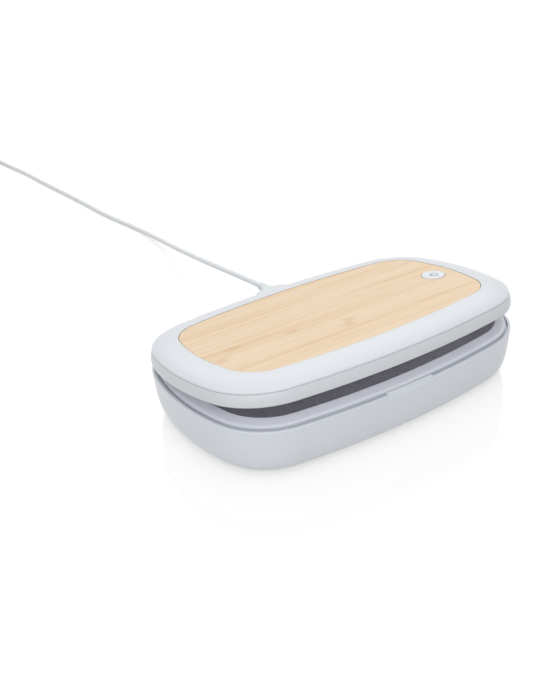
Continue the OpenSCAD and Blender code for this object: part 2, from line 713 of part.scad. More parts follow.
module coil_ferrite() {
  color("dimgray") ajar() translate([0, pad_y, main_z1]) cylinder(h = ferrite_t, d = coil_od + 6);
}

module charging_coil() {
  color("peru") ajar() translate([0, pad_y, coil_z0]) difference() {
    cylinder(h = coil_t, d = coil_od);
    translate([0, 0, -1]) cylinder(h = coil_t + 2, d = coil_id);
  }
}

module coil_pad() {
  color("darkgray") ajar() translate([0, pad_y, coil_z1]) cylinder(h = pad_t, d = coil_od + 4);
}

// ---- Button ----
module button_guide() {
  color("white") ajar() translate([button_x, button_y, 0]) rotate_extrude() polygon([
    [flange_d / 2 + 0.2, main_z1], [flange_d / 2 + 1.3, main_z1], [flange_d / 2 + 1.3, panel_under],
    [button_d / 2 + 0.2, panel_under], [button_d / 2 + 0.2, collar_z], [flange_d / 2 + 0.2, collar_z]]);
}

module switch_body() {
  color("black") ajar() translate([button_x, button_y, main_z1]) difference() {
    translate([-switch_w / 2, -switch_w / 2, 0]) cube([switch_w, switch_w, switch_z1 - main_z1]);
    translate([0, 0, 0.5]) cylinder(h = 3, d = 3.6);
  }
}

module button_cap() {
  r = button_d / 2;
  color("white") ajar() translate([button_x, button_y, 0]) rotate_extrude() polygon([
    [0, cap_z1 - 0.25], [r * 0.6, cap_z1 - 0.15], [r - 0.8, cap_z1], [r - 0.3, cap_z1 - 0.1],
    [r, cap_z1 - 0.5], [r, flange_top], [flange_d / 2, flange_top], [flange_d / 2, flange_top - flange_t],
    [r - 1.2, flange_top - flange_t], [r - 1.2, cap_z1 - 1.5], [2, cap_z1 - 1.5], [2, plunger_top],
    [0, plunger_top]]);
}

module switch_plunger() {
  color("gray") ajar() translate([button_x, button_y, main_z1 + 0.5 + button_travel + 0.1])
    cylinder(h = plunger_top - main_z1 - 0.6 - button_travel, d = 3.4);
}

// ---- Power lead ----
module plug_tip() {
  color("silver") difference() {
    y_slot(socket_x, axis_z, 8.2, 2.4, block_face - socket_l + 1.2, plug_y);
    y_slot(socket_x, axis_z, 7.6, 1.8, block_face - socket_l, plug_y - 0.8);
  }
}

// Sine or cosine of a rounded square section: power 2 gives an ellipse, a higher one squarer sides.
function squared(v, power) = sign(v) * pow(abs(v), 2 / power);

module plug_grip() {
  sides = 20;
  n = len(grip);
  pts = [for (g = grip) for (k = [0 : sides - 1]) let(w = 360 * (k + 0.5) / sides)
    [socket_x + g[1] * squared(cos(w), g[3]), plug_y + g[0], axis_z + g[2] * squared(sin(w), g[3])]];
  skin = [for (i = [0 : n - 2]) for (k = [0 : sides - 1])
    let(p = i * sides, q = p + sides, m = (k + 1) % sides)
      each [[p + k, p + m, q + m], [p + k, q + m, q + k]]];
  caps = [[for (k = [sides - 1 : -1 : 0]) k], [for (k = [0 : sides - 1]) (n - 1) * sides + k]];
  color("gainsboro") polyhedron(points = pts, faces = concat(skin, caps), convexity = 6);
}

module plug_relief() {
  color("gainsboro") translate([socket_x, relief_y, axis_z]) rotate([-90, 0, 0])
    cylinder(h = relief_l, d1 = 5.4, d2 = 5);
}

module cord_run() {
  path = spline(concat([[socket_x, exit_y, axis_z]], route), 3);
  color("gainsboro") tube(path, cord_d, 8, [0, 1, 0], [0, 1, 0]);
}

module cord_coil() {
  color("gainsboro") tube(coil_path, cord_d, 6, [0, 1, 0], [-1, 0, 0]);
}

module cord_tie() {
  w = 45;
  r0 = loop_rad(405) - cord_d / 2 - 0.8;
  r1 = loop_rad(1125) + cord_d / 2 + 0.8;
  h1 = loop_c[2] + loop_pitch + cord_d / 2 + 0.1;
  color("dimgray") translate([loop_c[0], loop_c[1], 0]) rotate([0, 0, w])
    translate([0, tie_w / 2, 0]) rotate([90, 0, 0]) linear_extrude(tie_w) difference() {
      translate([r0 - 0.6, 0]) square([r1 - r0 + 1.2, h1 + 0.6]);
      translate([r0, 0.5]) square([r1 - r0, h1 - 0.5]);
    }
}

module cord_tail() {
  path = spline(tail, 2);
  color("gainsboro") tube(path, cord_d, 8, [-1, 0, 0], [-1, 0, 0]);
}

module usb_relief() {
  e = tail[len(tail) - 1];
  color("gainsboro") translate(e) rotate([0, -90, 0]) cylinder(h = usb_neck, d1 = cord_d + 0.7, d2 = 6);
}

module usb_grip() {
  e = tail[len(tail) - 1];
  color("gainsboro") translate(e - [usb_neck + usb_grip[2], usb_grip[0] / 2, usb_grip[1] / 2])
    cube([usb_grip[2], usb_grip[0], usb_grip[1]]);
}

module usb_tip() {
  e = tail[len(tail) - 1];
  color("silver") translate(e - [usb_neck + usb_grip[2] + usb[2], usb[0] / 2, usb[1] / 2]) difference() {
    cube([usb[2], usb[0], usb[1]]);
    difference() {
      translate([-1, 0.35, 0.35]) cube([usb[2] - 1, usb[0] - 0.7, usb[1] - 0.7]);
      translate([1, -1, 0]) cube([usb[2], usb[0] + 2, 2.2]);
    }
  }
}

base_shell();
rim_liner();
cavity_tray();
tray_windows();
base_lamps();
base_board();
tray_screws();
base_magnets();
rubber_feet();
hinge_bracket();
hinge_pins();
power_socket();
lid_band();
lid_frame();
bamboo_panel();
lid_liner();
lid_windows();
lid_lamps();
lamp_boards();
lid_magnets();
lid_screws();
hinge_leaves();
leaf_screws();
charge_board();
board_chips();
coil_ferrite();
charging_coil();
coil_pad();
button_guide();
switch_body();
button_cap();
switch_plunger();
plug_tip();
plug_grip();
plug_relief();
cord_run();
cord_coil();
cord_tie();
cord_tail();
usb_relief();
usb_grip();
usb_tip();
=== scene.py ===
"""Looks of the phone sanitizer box: smooth shells, bamboo panel, button, lead, floor, light and camera.

Sizes are in millimetres, as in the part's source, and become metres where a mesh is made. The floor, the
lamps and the wood's grain are in metres. A profile is a list of [inset, z], with a third value where its
corner is rounded, and the inset is measured inward from the oval outline.
"""

import math

import bmesh
import bpy
import numpy as np
from mathutils import Matrix, Vector


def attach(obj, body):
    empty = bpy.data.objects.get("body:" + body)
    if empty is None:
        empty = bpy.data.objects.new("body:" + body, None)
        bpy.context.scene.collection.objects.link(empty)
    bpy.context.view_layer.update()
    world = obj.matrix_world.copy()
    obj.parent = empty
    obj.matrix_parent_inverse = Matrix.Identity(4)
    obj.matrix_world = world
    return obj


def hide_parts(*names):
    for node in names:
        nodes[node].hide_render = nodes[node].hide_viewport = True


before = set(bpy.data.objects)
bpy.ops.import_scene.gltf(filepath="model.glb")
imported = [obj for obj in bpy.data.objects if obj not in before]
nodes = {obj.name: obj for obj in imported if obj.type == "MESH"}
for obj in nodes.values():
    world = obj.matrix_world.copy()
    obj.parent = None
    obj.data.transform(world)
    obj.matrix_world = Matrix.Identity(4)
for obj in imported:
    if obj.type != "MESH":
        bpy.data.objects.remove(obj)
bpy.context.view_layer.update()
MM = 0.001

# ---------------------------------------------------------------- sizes, as in the part's source
LID_L, LID_W = 220.0, 134.6
BASE_L, BASE_W = 219.8, 137.4
SIDE_R, END_R, CORNER_R = 487.0, 132.0, 39.9

RIM_H = 30.1
EDGE_Z = RIM_H - 1.2                        # where the bowl's wall turns into the rounded rim
LEDGE_Z = RIM_H - 1.7                       # floor of the shadow groove
FOOT_GAP = 0.8
WALL_T = 2.2
BOWL_TOE = 26.8
RIM_W = 1.35
LINER_I = 2.85                              # outer wall of the liner
CROWN_Z = RIM_H + 1.35                      # top of the liner's outer bead, which is painted lighter, as painted light
LIP_Z = RIM_H + 3.4
LIP_IN = 9.9
LEG_IN = LIP_IN - 1.3                       # outer face of the liner's inner leg

FLANGE_Z = LEDGE_Z - 0.5                    # top of the tray's flange
TRAY_T = 1.2
TRAY_Z = 8.0
RIB_H, RIB_L, RIB_W, RIB_STEP = 1.5, 66.0, 2.0, 30.0
LAMP_X = 45.0
SEAT_R, SEAT_D = 6.1, 0.9                   # seat of a lamp's window in the tray
LIGHT_R = 5.0                               # opening below that window

LID_Z = RIM_H + 1.75                        # lower edge of the closed lid
BAND_H, BAND_T = 7.25, 2.6
DOME_H, DOME_W = 5.35, 17.35
SEAM_Z = LID_Z + BAND_H
SEAM_IN = 1.1
SEAM_GAP = 0.3
STEP_I = SEAM_IN + 0.6                      # the band's top stands up inside the seam
PANEL_Z = SEAM_Z + DOME_H
PANEL_T = 2.0
LEDGE_I = DOME_W + 4.65
DOME_FOOT = SEAM_Z + SEAM_GAP / 2
DOME_UNDER = PANEL_Z - PANEL_T - 1.5
COVER_TOP = LID_Z + 3.85                    # top of the lid's inner cover

AXIS_Y, AXIS_Z = LID_W / 2 - 0.3, RIM_H + 5.4
AJAR = math.radians(5.85)
NOTCH_X = 36.0
SCOOP_X = 16.5
BUTTON = (78.2, -2.0)
BUTTON_R = 7.3
PLUG_X, PLUG_Y = 4.5, AXIS_Y + 3.9
CORD_D = 3.5

# ---------------------------------------------------------------- sizes of the looks alone
SEAM_LINE = 0.03                            # half of the visible joint between dome and band
PANEL_LOW = 0.2                             # the panel's face below the dome's inner edge
SCOOP_D = 1.9                               # lower edge of the scoop below the rim, 1.3 in the solid
HINGE_X = NOTCH_X + 0.4                     # half of the width that rim, band and dome leave to the hinge
SMOOTH = 32.0                               # an edge with a larger angle, in degrees, stays sharp
STRIP_W, STRIP_L = 0.0052, 0.23             # one strip of the bamboo panel, in metres
SIGN_W, SIGN_H, SIGN_R, SIGN_LINE = 3.9, 5.4, 1.3, 0.6          # the outline printed on the button

# ---------------------------------------------------------------- camera, at the photograph's angle
FOCAL_LENGTH = 960                          # in pixels of the photograph
PHOTO_HEIGHT = 700                          # in pixels
SENSOR = 36                                 # height of the sensor
TURN, RISE, ROLL = -33.236, 28.21, -3.064   # degrees
FROM_ORIGIN = (-40.535, 21.233, 592.0)      # the camera's place: to its right, up and back


def add_camera():
    """A camera fitted to the photograph's outlines."""
    turn, rise, roll = (math.radians(angle) for angle in (TURN, RISE, ROLL))
    level = Vector((math.cos(turn), math.sin(turn), 0))
    back = Vector((math.sin(turn) * math.cos(rise), -math.cos(turn) * math.cos(rise), math.sin(rise)))
    steep = back.cross(level)
    right = level * math.cos(roll) + steep * math.sin(roll)
    up = steep * math.cos(roll) - level * math.sin(roll)
    place = (right * FROM_ORIGIN[0] + up * FROM_ORIGIN[1] + back * FROM_ORIGIN[2]) * MM
    data = bpy.data.cameras.new("camera")
    data.sensor_fit = "VERTICAL"
    data.sensor_width = SENSOR
    data.sensor_height = SENSOR
    data.lens = FOCAL_LENGTH / PHOTO_HEIGHT * SENSOR
    data.clip_start = 0.01
    camera = bpy.data.objects.new("camera", data)
    camera.matrix_world = Matrix.Translation(place) @ Matrix((right, up, back)).transposed().to_4x4()
    bpy.context.scene.collection.objects.link(camera)
    bpy.context.scene.camera = camera


add_camera()


# ---------------------------------------------------------------- materials
COLOUR_A, COLOUR_B, COLOUR_OUT = 6, 7, 2    # the Mix node's colour sockets, which share their names


class Shading:
    """The nodes of a material or of the world. Where a socket is named in a call, an underscore stands
    for a space. A value is a number, a colour, or the output of another node."""

    def __init__(self, owner):
        owner.use_nodes = True
        self.owner = owner
        self.tree = owner.node_tree

    def put(self, value, socket):
        if isinstance(value, bpy.types.NodeSocket):
            self.tree.links.new(value, socket)
        else:
            socket.default_value = value

    def node(self, kind, **values):
        """A new node. A value that belongs to no socket is a setting of the node."""
        made = self.tree.nodes.new(kind)
        for key, value in values.items():
            socket = made.inputs.get(key.replace("_", " "))
            if socket is None:
                setattr(made, key, value)
            else:
                self.put(value, socket)
        return made

    def surface(self, **values):
        """Sets sockets of the material's Principled shader."""
        for key, value in values.items():
            self.put(value, self.tree.nodes["Principled BSDF"].inputs[key.replace("_", " ")])

    def place(self):
        return self.node("ShaderNodeTexCoord").outputs["Object"]

    def math(self, operation, *values):
        made = self.node("ShaderNodeMath", operation=operation)
        for value, socket in zip(values, made.inputs):
            self.put(value, socket)
        return made.outputs["Value"]

    def vector(self, x, y, z=0.0):
        return self.node("ShaderNodeCombineXYZ", X=x, Y=y, Z=z).outputs["Vector"]

    def noise(self, at, scale, detail=2.0, roughness=0.5):
        made = self.node("ShaderNodeTexNoise", Vector=at, Scale=scale, Detail=detail, Roughness=roughness)
        return made.outputs["Fac"]

    def chance(self, at, dimensions="2D"):
        """A number from 0 to 1 that is the same wherever the vector is the same."""
        made = self.node("ShaderNodeTexWhiteNoise", noise_dimensions=dimensions, Vector=at)
        return made.outputs["Value"]

    def ranged(self, value, low, high):
        """Maps 0 to low and 1 to high."""
        return self.node("ShaderNodeMapRange", Value=value, To_Min=low, To_Max=high).outputs["Result"]

    def soft_step(self, value, low, high, top):
        """Rises smoothly from 0 at low to top at high."""
        made = self.node("ShaderNodeMapRange", interpolation_type="SMOOTHSTEP", Value=value,
                         From_Min=low, From_Max=high, To_Max=top)
        return made.outputs["Result"]

    def ramp(self, value, stops):
        made = self.node("ShaderNodeValToRGB", Fac=value)
        elements = made.color_ramp.elements
        while len(elements) < len(stops):
            elements.new(0.5)
        for element, (position, colour) in zip(elements, stops):
            element.position = position
            element.color = colour
        return made.outputs["Color"]

    def mix(self, mode, share, first, second):
        made = self.node("ShaderNodeMix", data_type="RGBA", blend_type=mode, Factor=share)
        self.put(first, made.inputs[COLOUR_A])
        self.put(second, made.inputs[COLOUR_B])
        return made.outputs[COLOUR_OUT]

    def bump(self, height, strength, distance):
        made = self.node("ShaderNodeBump", Strength=strength, Distance=distance, Height=height)
        self.surface(Normal=made.outputs["Normal"])

    def background_rays(self):
        """1 for a ray from the camera, also by way of glass or of a mirror, and otherwise 0."""
        path = self.node("ShaderNodeLightPath").outputs
        direct = self.math("MAXIMUM", path["Is Camera Ray"], path["Is Transmission Ray"])
        return self.math("MAXIMUM", direct, path["Is Glossy Ray"])

    def blend(self, share, first, second, end):
        """Shows the first shader, and a share of the second, through the tree's end node."""
        made = self.node("ShaderNodeMixShader", Fac=share)
        self.put(first, made.inputs[1])
        self.put(second, made.inputs[2])
        self.put(made.outputs["Shader"], self.tree.nodes[end].inputs["Surface"])


def srgb(*screen):
    """A colour written as 0-255 screen values, in linear light."""
    linear = [((c / 255 + 0.055) / 1.055) ** 2.4 if c > 10 else c / 255 / 12.92 for c in screen]
    return (*linear, 1.0)


MOTTLING, MOTTLE_SCALE = 0.02, 28.0
GLOSS_SPREAD = 0.03
COAT_ROUGHNESS = 0.25
PEEL_DEPTH = 0.00005


def moulded(name, colour, roughness, grain=1800.0, bump=0.05, metallic=0.0, coat=0.0):
    """Moulded or painted plastic, or metal: faint mottling, fine orange peel and uneven gloss."""
    shade = Shading(bpy.data.materials.new(name))
    place = shade.place()
    soft = shade.noise(place, MOTTLE_SCALE, 3.0)
    tint = shade.node("ShaderNodeVectorMath", operation="SCALE",
                      Scale=shade.ranged(soft, 1 - MOTTLING, 1 + MOTTLING))
    tint.inputs[0].default_value = colour[:3]
    gloss = shade.ranged(soft, roughness - GLOSS_SPREAD, roughness + GLOSS_SPREAD)
    shade.surface(Base_Color=tint.outputs["Vector"], Roughness=gloss, Metallic=metallic, Coat_Weight=coat,
                  Coat_Roughness=COAT_ROUGHNESS)
    shade.bump(shade.noise(place, grain), bump, PEEL_DEPTH)
    return shade.owner


def bamboo():
    """Pressed bamboo: fine strips along X, each of its own tone, with fibres and the odd darker node."""
    shade = Shading(bpy.data.materials.new("bamboo"))
    calc = shade.math
    place = shade.node("ShaderNodeSeparateXYZ", Vector=shade.place()).outputs
    x, y = place["X"], place["Y"]

    def grain(along, across, lane, detail, roughness=0.5):
        """Noise with so many cells to a metre along and across the strips."""
        at = shade.vector(calc("MULTIPLY", x, along), calc("MULTIPLY", y, across), lane)
        return shade.noise(at, 1.0, detail, roughness)

    waviness = calc("SUBTRACT", shade.noise(shade.vector(calc("MULTIPLY", x, 14.0), 5.0), 1.0), 0.5)
    strip = calc("DIVIDE", calc("ADD", y, calc("MULTIPLY", waviness, 0.0012)), STRIP_W)
    row = calc("FLOOR", strip)
    # Each strip runs in lengths of its own along X.
    shift = calc("MULTIPLY", shade.chance(shade.vector(row, 3.0)), 7.0)
    length = calc("ADD", calc("DIVIDE", x, STRIP_L), shift)
    lot = calc("FLOOR", length)
    fibre = grain(11.0, 1100.0, row, 4.0, 0.62)
    streak = grain(7.0, 330.0, 2.0, 3.0, 0.6)
    wide = grain(5.0, 120.0, 8.0, 2.0)
    tones = [(0.0, srgb(235, 208, 174)), (0.4, srgb(239, 214, 183)), (0.75, srgb(241, 219, 190)),
             (1.0, srgb(236, 210, 177))]
    colour = shade.ramp(shade.chance(shade.vector(row, lot)), tones)
    colour = shade.mix("MIX", shade.soft_step(wide, 0.5, 0.68, 0.5), colour, srgb(231, 198, 158))
    colour = shade.mix("MIX", shade.soft_step(streak, 0.52, 0.72, 0.55), colour, srgb(226, 186, 142))
    threads = shade.ramp(fibre, [(0.3, (0.74, 0.67, 0.58, 1)), (0.62, (1, 1, 1, 1))])
    colour = shade.mix("MULTIPLY", 0.26, colour, threads)
    # Nodes of the cane: soft darker clouds across some of the lengths, at their middle.
    from_middle = calc("ABSOLUTE", calc("SUBTRACT", calc("SUBTRACT", length, lot), 0.5))
    cloud = calc("MULTIPLY", grain(160.0, 500.0, 0.0, 3.0), 0.04)
    near = calc("SUBTRACT", 0.05, calc("ADD", from_middle, cloud))
    chosen = calc("GREATER_THAN", shade.chance(shade.vector(lot, row, 1.0), "3D"), 0.72)
    knot = calc("MULTIPLY", shade.soft_step(near, 0.0, 0.025, 0.4), chosen)
    colour = shade.mix("MIX", knot, colour, srgb(214, 170, 124))
    # A hair-fine joint between two strips.
    inside = calc("LESS_THAN", calc("ABSOLUTE", calc("SUBTRACT", calc("FRACT", strip), 0.5)), 0.47)
    joint = calc("SUBTRACT", 1.0, inside)
    colour = shade.mix("MIX", calc("MULTIPLY", joint, 0.16), colour, srgb(205, 160, 114))
    shade.surface(Base_Color=colour, Roughness=shade.ranged(fibre, 0.42, 0.6), Specular_IOR_Level=0.35)
    height = calc("SUBTRACT", calc("MULTIPLY", fibre, 0.6), calc("MULTIPLY", joint, 0.5))
    shade.bump(height, 0.25, 0.00006)
    return shade.owner


def window_glass():
    """Clear glass with a faint, uneven haze."""
    shade = Shading(bpy.data.materials.new("window_glass"))
    haze = shade.ranged(shade.noise(shade.place(), 300.0), 0.1, 0.22)
    shade.surface(Base_Color=srgb(214, 222, 232), Roughness=haze, Transmission_Weight=0.75, IOR=1.46)
    return shade.owner


PEARL = moulded("pearl_plastic", srgb(218, 221, 225), 0.36, bump=0.04, coat=0.15)
BAND = moulded("band_plastic", srgb(209, 212, 216), 0.34, bump=0.04, coat=0.15)
SHELL = moulded("shell_plastic", srgb(216, 221, 227), 0.36, bump=0.04, coat=0.15)
LINER = moulded("liner_plastic", srgb(228, 230, 238), 0.42, bump=0.04)
# Painted light: a lighter copy of the liner's plastic, for the liner's outer bead.
PAINTED_LIGHT_BEAD = moulded("rim_bead_painted_light", srgb(240, 244, 250), 0.35, bump=0.04)
COATING = moulded("tray_coating", srgb(240, 238, 246), 0.38, bump=0.02, coat=0.1)
# Painted shade: a darker copy of the pale plastic, for faces that stand in the groove's shade.
PAINTED_GROOVE_SHADE = moulded("painted_groove_shade", srgb(212, 214, 222), 0.5)
SHADE = moulded("joint_shade", srgb(148, 148, 149), 0.8)
PRINT = moulded("button_print", srgb(92, 95, 104), 0.6)
RUBBER = moulded("foot_rubber", srgb(58, 58, 62), 0.8, grain=900, bump=0.3)
STEEL = moulded("steel", srgb(196, 198, 200), 0.28, metallic=1.0, bump=0.02)
BOARD = moulded("circuit_board", srgb(44, 96, 70), 0.5)
CHIP = moulded("chip_black", srgb(34, 34, 37), 0.45)
COPPER = moulded("copper", srgb(190, 120, 80), 0.35, metallic=1.0)
LAMP = moulded("lamp_chip", srgb(222, 210, 140), 0.35)
FOAM = moulded("foam_pad", srgb(120, 120, 122), 0.9, grain=600, bump=0.5)
CAP = moulded("button_plastic", srgb(226, 229, 234), 0.3, bump=0.02, coat=0.3)
LEAD = moulded("lead_plastic", srgb(222, 226, 228), 0.45, bump=0.05)
JACKET = moulded("cord_jacket", srgb(228, 231, 233), 0.5, bump=0.06)
STRAP = moulded("strap", srgb(206, 208, 212), 0.85, grain=700, bump=0.6)
GLASS = window_glass()
BAMBOO = bamboo()

CAD_FINISH = [
    (SHELL, ["base_shell", "hinge_bracket"]),
    (LINER, ["rim_liner", "button_guide", "switch_plunger"]),
    (COATING, ["cavity_tray", "lid_liner"]),
    (GLASS, ["tray_windows", "lid_windows"]),
    (LAMP, ["base_lamps", "lid_lamps"]),
    (BOARD, ["base_board", "lamp_boards", "charge_board"]),
    (STEEL, ["tray_screws", "lid_screws", "leaf_screws", "base_magnets", "lid_magnets", "hinge_pins",
             "power_socket", "plug_tip", "usb_tip"]),
    (RUBBER, ["rubber_feet"]),
    (BAND, ["lid_band", "hinge_leaves"]),
    (PEARL, ["lid_frame"]),
    (BAMBOO, ["bamboo_panel"]),
    (CHIP, ["board_chips", "coil_ferrite", "switch_body"]),
    (COPPER, ["charging_coil"]),
    (FOAM, ["coil_pad"]),
    (CAP, ["button_cap"]),
    (LEAD, ["plug_grip", "plug_relief", "usb_relief", "usb_grip"]),
    (JACKET, ["cord_run", "cord_coil", "cord_tail"]),
    (STRAP, ["cord_tie"]),
]
for finish, names in CAD_FINISH:
    for name in names:
        nodes[name].data.materials.clear()
        nodes[name].data.materials.append(finish)


# ---------------------------------------------------------------- mesh helpers
def mesh_object(name, verts, faces, material, smooth=SMOOTH, more=(), marked=None):
    """A mesh from millimetre points, smooth except over edges sharper than the given angle.
    marked gives the faces that take one of the further materials, counted from 1."""
    mesh = bpy.data.meshes.new(name)
    mesh.from_pydata([tuple(v) for v in np.asarray(verts, float) * MM], [], faces)
    for k, slot in (marked or {}).items():
        mesh.polygons[k].material_index = slot
    mesh.validate()
    mesh.shade_smooth()
    mesh.set_sharp_from_angle(angle=math.radians(smooth))
    for mat in (material, *more):
        mesh.materials.append(mat)
    obj = bpy.data.objects.new(name, mesh)
    bpy.context.scene.collection.objects.link(obj)
    return obj


def apply_modifiers(obj):
    """Replaces the object's mesh by its evaluated one."""
    bpy.context.view_layer.update()
    graph = bpy.context.evaluated_depsgraph_get()
    mesh = bpy.data.meshes.new_from_object(obj.evaluated_get(graph))
    old = obj.data
    obj.modifiers.clear()
    obj.data = mesh
    bpy.data.meshes.remove(old)


def cut(obj, tool, smooth):
    """Takes one closed mesh out of another, then deletes the tool."""
    mod = obj.modifiers.new("cut", "BOOLEAN")
    mod.operation = "DIFFERENCE"
    mod.object = tool
    mod.solver = "EXACT"
    apply_modifiers(obj)
    bpy.data.objects.remove(tool)
    obj.data.shade_smooth()
    obj.data.set_sharp_from_angle(angle=math.radians(smooth))


def weighted(obj):
    """Normals that lean to the larger faces, so that flats beside small rounds stay flat."""
    mod = obj.modifiers.new("normals", "WEIGHTED_NORMAL")
    mod.keep_sharp = True
    mod.weight = 60
    apply_modifiers(obj)


def box_tool(low, high):
    """A plain block, used only as a cutter."""
    (x0, y0, z0), (x1, y1, z1) = low, high
    verts = [(x, y, z) for z in (z0, z1) for y in (y0, y1) for x in (x0, x1)]
    faces = [(0, 2, 3, 1), (4, 5, 7, 6), (0, 1, 5, 4), (2, 6, 7, 3), (0, 4, 6, 2), (1, 3, 7, 5)]
    return mesh_object("cutter", verts, faces, PEARL)


def lathe(name, profile, centre, material, steps=96, more=(), mark=None):
    """A turned piece: profile is [radius, z], from the lower axis outward, up and back to the axis."""
    profile = np.asarray(profile, float)
    verts, faces, marked = [], [], {}
    for k in range(steps):
        w = 2 * math.pi * k / steps
        for r, z in profile:
            verts.append((centre[0] + r * math.cos(w), centre[1] + r * math.sin(w), z))
    n = len(profile)
    for k in range(steps):
        a, b = k * n, (k + 1) % steps * n
        for i in range(n - 1):
            if mark is not None:
                marked[len(faces)] = mark(*(profile[i] + profile[i + 1]) / 2)
            faces.append((a + i, b + i, b + i + 1, a + i + 1))
    obj = mesh_object(name, verts, faces, material, SMOOTH, more, marked)
    weld(obj)
    return obj


def weld(obj):
    """Joins the points that lie on the axis of a turned piece."""
    bm = bmesh.new()
    bm.from_mesh(obj.data)
    bmesh.ops.remove_doubles(bm, verts=bm.verts, dist=1e-7)
    bmesh.ops.dissolve_degenerate(bm, edges=bm.edges, dist=1e-8)
    bm.to_mesh(obj.data)
    bm.free()


def swing(obj):
    """Turns a piece made for the closed lid to the pose in which the lid stands ajar."""
    axis = Vector((0, AXIS_Y * MM, AXIS_Z * MM))
    turn = Matrix.Rotation(-AJAR, 4, "X")
    obj.data.transform(Matrix.Translation(axis) @ turn @ Matrix.Translation(-axis))


# ---------------------------------------------------------------- the oval outline and its lofts
END_STEPS, CORNER_STEPS, SIDE_STEPS = 24, 40, 36        # stations along one quarter of the outline
MARK_GAP = 0.02                             # a mark has a station this far away on both sides


class Oval:
    """Outline of two long arcs, two short arcs and four corner arcs. Its stations run round it from +X.
    A station is its arc's centre, the arc's radius, and the direction from the one to the other."""

    def __init__(self, half_l, half_w, side_r, end_r, corner_r, marks):
        side_y, end_x = half_w - side_r, half_l - end_r
        p, q = side_r - corner_r, end_r - corner_r
        d = math.hypot(end_x, side_y)
        t = (p * p - q * q + d * d) / (2 * d)
        h = math.sqrt(p * p - t * t)
        cx, cy = (end_x * t - side_y * h) / d, side_y + (-side_y * t - end_x * h) / d
        end_turn, side_turn = math.atan2(cy, cx - end_x), math.pi / 2 - math.atan2(cx, cy - side_y)
        side = list(np.linspace(side_turn, math.pi / 2, SIDE_STEPS + 1))
        side += [math.acos((x + dx) / side_r) for x in marks for dx in (-MARK_GAP, MARK_GAP)]
        quarter = [(end_x, 0, end_r, w) for w in np.linspace(0, end_turn, END_STEPS, endpoint=False)]
        quarter += [(cx, cy, corner_r, w)
                    for w in np.linspace(end_turn, side_turn, CORNER_STEPS, endpoint=False)]
        quarter += [(0, side_y, side_r, w) for w in sorted(side)]
        right = [(x, y, r, math.cos(w), math.sin(w)) for x, y, r, w in quarter]
        left = [(-x, y, r, -u, v) for x, y, r, u, v in reversed(right[:-1])]
        far_half = right + left
        near_half = [(x, -y, r, u, -v) for x, y, r, u, v in reversed(far_half[1:-1])]
        self.stations = np.array(far_half + near_half)

    def outline(self):
        x, y, r, u, v = self.stations.T
        return np.stack([x + r * u, y + r * v], 1)


ROUND_SHARE = 0.49                          # most of a side that the round at one of its ends may take


def fillet(points, steps):
    """Rounds the corners of a profile. A point is [inset, z] or [inset, z, radius]."""
    out = []
    places = [np.array(p[:2], float) for p in points]
    radii = [p[2] if len(p) > 2 else 0.0 for p in points]
    for k, (p, r) in enumerate(zip(places, radii)):
        if r == 0 or k in (0, len(places) - 1):
            out.append(p)
            continue
        u, v = places[k - 1] - p, places[k + 1] - p
        before, after = np.linalg.norm(u), np.linalg.norm(v)
        u, v = u / before, v / after
        half = 0.5 * math.acos(np.clip(u @ v, -1, 1))
        reach = min(r / math.tan(half), ROUND_SHARE * before, ROUND_SHARE * after)
        r = reach * math.tan(half)
        centre = p + (u + v) / np.linalg.norm(u + v) * (r / math.sin(half))
        a, b = p + u * reach - centre, p + v * reach - centre
        sweep = math.acos(np.clip((a @ b) / (r * r), -1, 1))
        for s in np.linspace(0, 1, steps):
            arm = math.sin((1 - s) * sweep) * a + math.sin(s * sweep) * b
            out.append(centre + arm / math.sin(sweep))
    return np.array(out)


def bezier(points, steps):
    """Points along a Bezier curve of any order."""
    t = np.linspace(0, 1, steps)[:, None]
    p = [np.array(q, float) for q in points]
    n = len(p) - 1
    return sum(math.comb(n, k) * (1 - t) ** (n - k) * t ** k * p[k] for k in range(n + 1))


def smooth_line(points, steps=8):
    """A spline through points."""
    p = [np.array(q, float) for q in points]
    out = [p[0]]
    for i in range(len(p) - 1):
        a, b, c, d = p[max(0, i - 1)], p[i], p[i + 1], p[min(len(p) - 1, i + 2)]
        for s in range(1, steps + 1):
            u = s / steps
            out.append(0.5 * (2 * b + (c - a) * u + (2 * a - 5 * b + 4 * c - d) * u * u
                              + (3 * b - a - 3 * c + d) * u ** 3))
    return np.array(out)


def loft(name, oval, profile, material, smooth, looped=False, keep=None, more=(), mark=None):
    """Skin over a profile of [inset, z] at every station. profile may be a function of the station's
    point on the outline. keep says which stations stay, for a ring that is broken open. mark says for
    the middle of a face which material it takes."""
    outline = oval.outline()
    profiles = [profile(x, y) if callable(profile) else profile for x, y in outline]
    kept = [keep is None or keep(x, y) for x, y in outline]
    n, m = len(outline), len(profiles[0])
    verts, faces, marked = [], [], {}
    for (x, y, r, u, v), points in zip(oval.stations, profiles):
        verts += [(x + (r - inset) * u, y + (r - inset) * v, z) for inset, z in points]
    for j in range(n):
        k = (j + 1) % n
        if not (kept[j] and kept[k]):
            continue
        for i in range(m if looped else m - 1):
            h = (i + 1) % m
            if mark is not None:
                marked[len(faces)] = mark(*(profiles[j][i] + profiles[j][h]) / 2)
            faces.append((j * m + i, k * m + i, k * m + h, j * m + h))
    if looped:
        for j in range(n):
            if kept[j] and not kept[j - 1]:
                faces.append(tuple(j * m + i for i in range(m)))
            if kept[j] and not kept[(j + 1) % n]:
                faces.append(tuple(j * m + i for i in reversed(range(m))))
    else:
        faces.append(tuple(j * m for j in reversed(range(n))))
        faces.append(tuple(j * m + m - 1 for j in range(n)))
    return mesh_object(name, verts, faces, material, smooth, more, marked)


